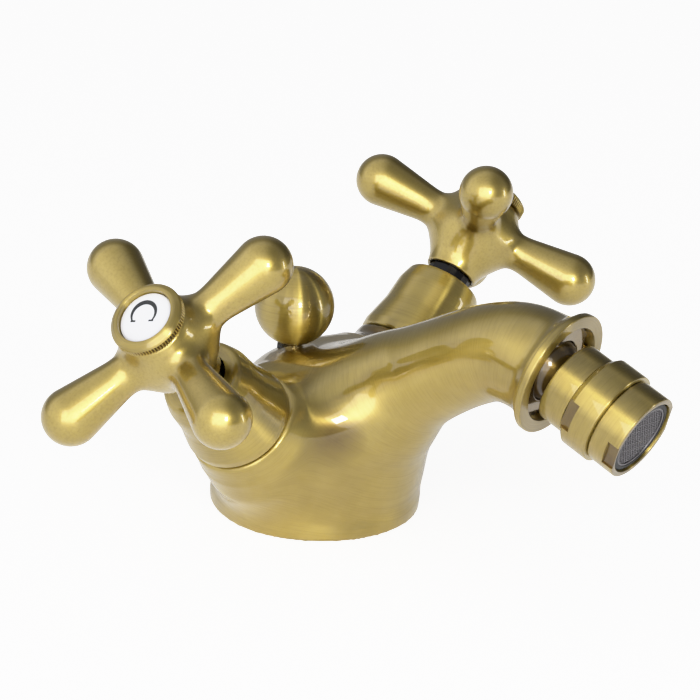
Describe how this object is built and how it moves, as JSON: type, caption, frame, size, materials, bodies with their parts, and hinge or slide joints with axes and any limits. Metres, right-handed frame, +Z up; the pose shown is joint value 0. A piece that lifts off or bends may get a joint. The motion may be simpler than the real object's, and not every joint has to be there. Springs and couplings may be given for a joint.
{
  "type": "bathroom mixer faucet",
  "caption": "Deck-mounted bathroom mixer faucet in antique brass with cross handles, a pop-up lift knob and a short spout whose aerator swivels on a ball.",
  "frame": {"origin": "centre of the round base, on the flat face that stands on the deck", "axes": "+Z up from the deck, -Y along the spout towards the user, +X to the user's right, so the hot handle is at -X and the cold handle at +X"},
  "size_m": [0.1792, 0.1342, 0.0878],
  "materials": {
    "antique_brass": "brushed and lacquered antique brass with dark patina in the corners",
    "plain_brass": "machined brass",
    "dark_metal": "dark nickel plate over brass, glossy",
    "stainless_steel": "bright stainless steel",
    "porcelain": null,
    "alumina": "opaque lapped ceramic",
    "black_plastic": "black moulded acetal",
    "rubber": "black rubber"
  },
  "bodies": {
    "mixer_body": {"body_casting": "antique_brass", "base_o_ring": "rubber", "rod_guide_bush": "dark_metal", "rod_o_ring": "rubber", "swivel_nut": "antique_brass", "hot_valve_body": "dark_metal", "hot_lower_disc": "alumina", "hot_seat_seal": "rubber", "hot_body_o_ring": "rubber", "hot_bonnet_shroud": "antique_brass", "cold_valve_body": "dark_metal", "cold_lower_disc": "alumina", "cold_seat_seal": "rubber", "cold_body_o_ring": "rubber", "cold_bonnet_shroud": "antique_brass"},
    "hot_handle": {"hot_cross_handle": "antique_brass", "hot_handle_screw": "stainless_steel", "hot_index_cap": "antique_brass", "hot_index_disc": "porcelain", "hot_spindle": "plain_brass", "hot_upper_disc": "alumina", "hot_retaining_clip": "stainless_steel", "hot_spindle_o_ring": "rubber"},
    "cold_handle": {"cold_cross_handle": "antique_brass", "cold_handle_screw": "stainless_steel", "cold_index_cap": "antique_brass", "cold_index_disc": "porcelain", "cold_spindle": "plain_brass", "cold_upper_disc": "alumina", "cold_retaining_clip": "stainless_steel", "cold_spindle_o_ring": "rubber"},
    "lift_rod_body": {"lift_rod": "plain_brass", "lift_knob": "antique_brass"},
    "swivel_turn": {"ball_seat_washer": "black_plastic"},
    "aerator_head": {"swivel_ball": "antique_brass", "aerator_collar": "antique_brass", "aerator_sleeve": "antique_brass", "aerator_washer": "rubber", "aerator_insert": "black_plastic", "aerator_mesh": "stainless_steel"}
  },
  "joints": [
    {"name": "hot_handle_turn", "type": "hinge", "parent": "mixer_body", "child": "hot_handle", "pos_m": [-0.064, -0.002, 0.062], "axis": [0.7071, 0, -0.7071], "range_deg": [0, 90]},
    {"name": "cold_handle_turn", "type": "hinge", "parent": "mixer_body", "child": "cold_handle", "pos_m": [0.064, -0.002, 0.062], "axis": [0.7071, 0, 0.7071], "range_deg": [0, 90]},
    {"name": "lift_rod_slide", "type": "slide", "parent": "mixer_body", "child": "lift_rod_body", "axis": [0, 0, 1], "range_m": [0, 0.022]},
    {"name": "aerator_spin", "type": "hinge", "parent": "mixer_body", "child": "swivel_turn", "pos_m": [0, -0.06916, 0.05833], "axis": [0, -0.9703, -0.2419], "continuous": true},
    {"name": "aerator_tilt", "type": "hinge", "parent": "swivel_turn", "child": "aerator_head", "pos_m": [0, -0.06916, 0.05833], "axis": [1, 0, 0], "range_deg": [-17.8, 6.2]}
  ]
}
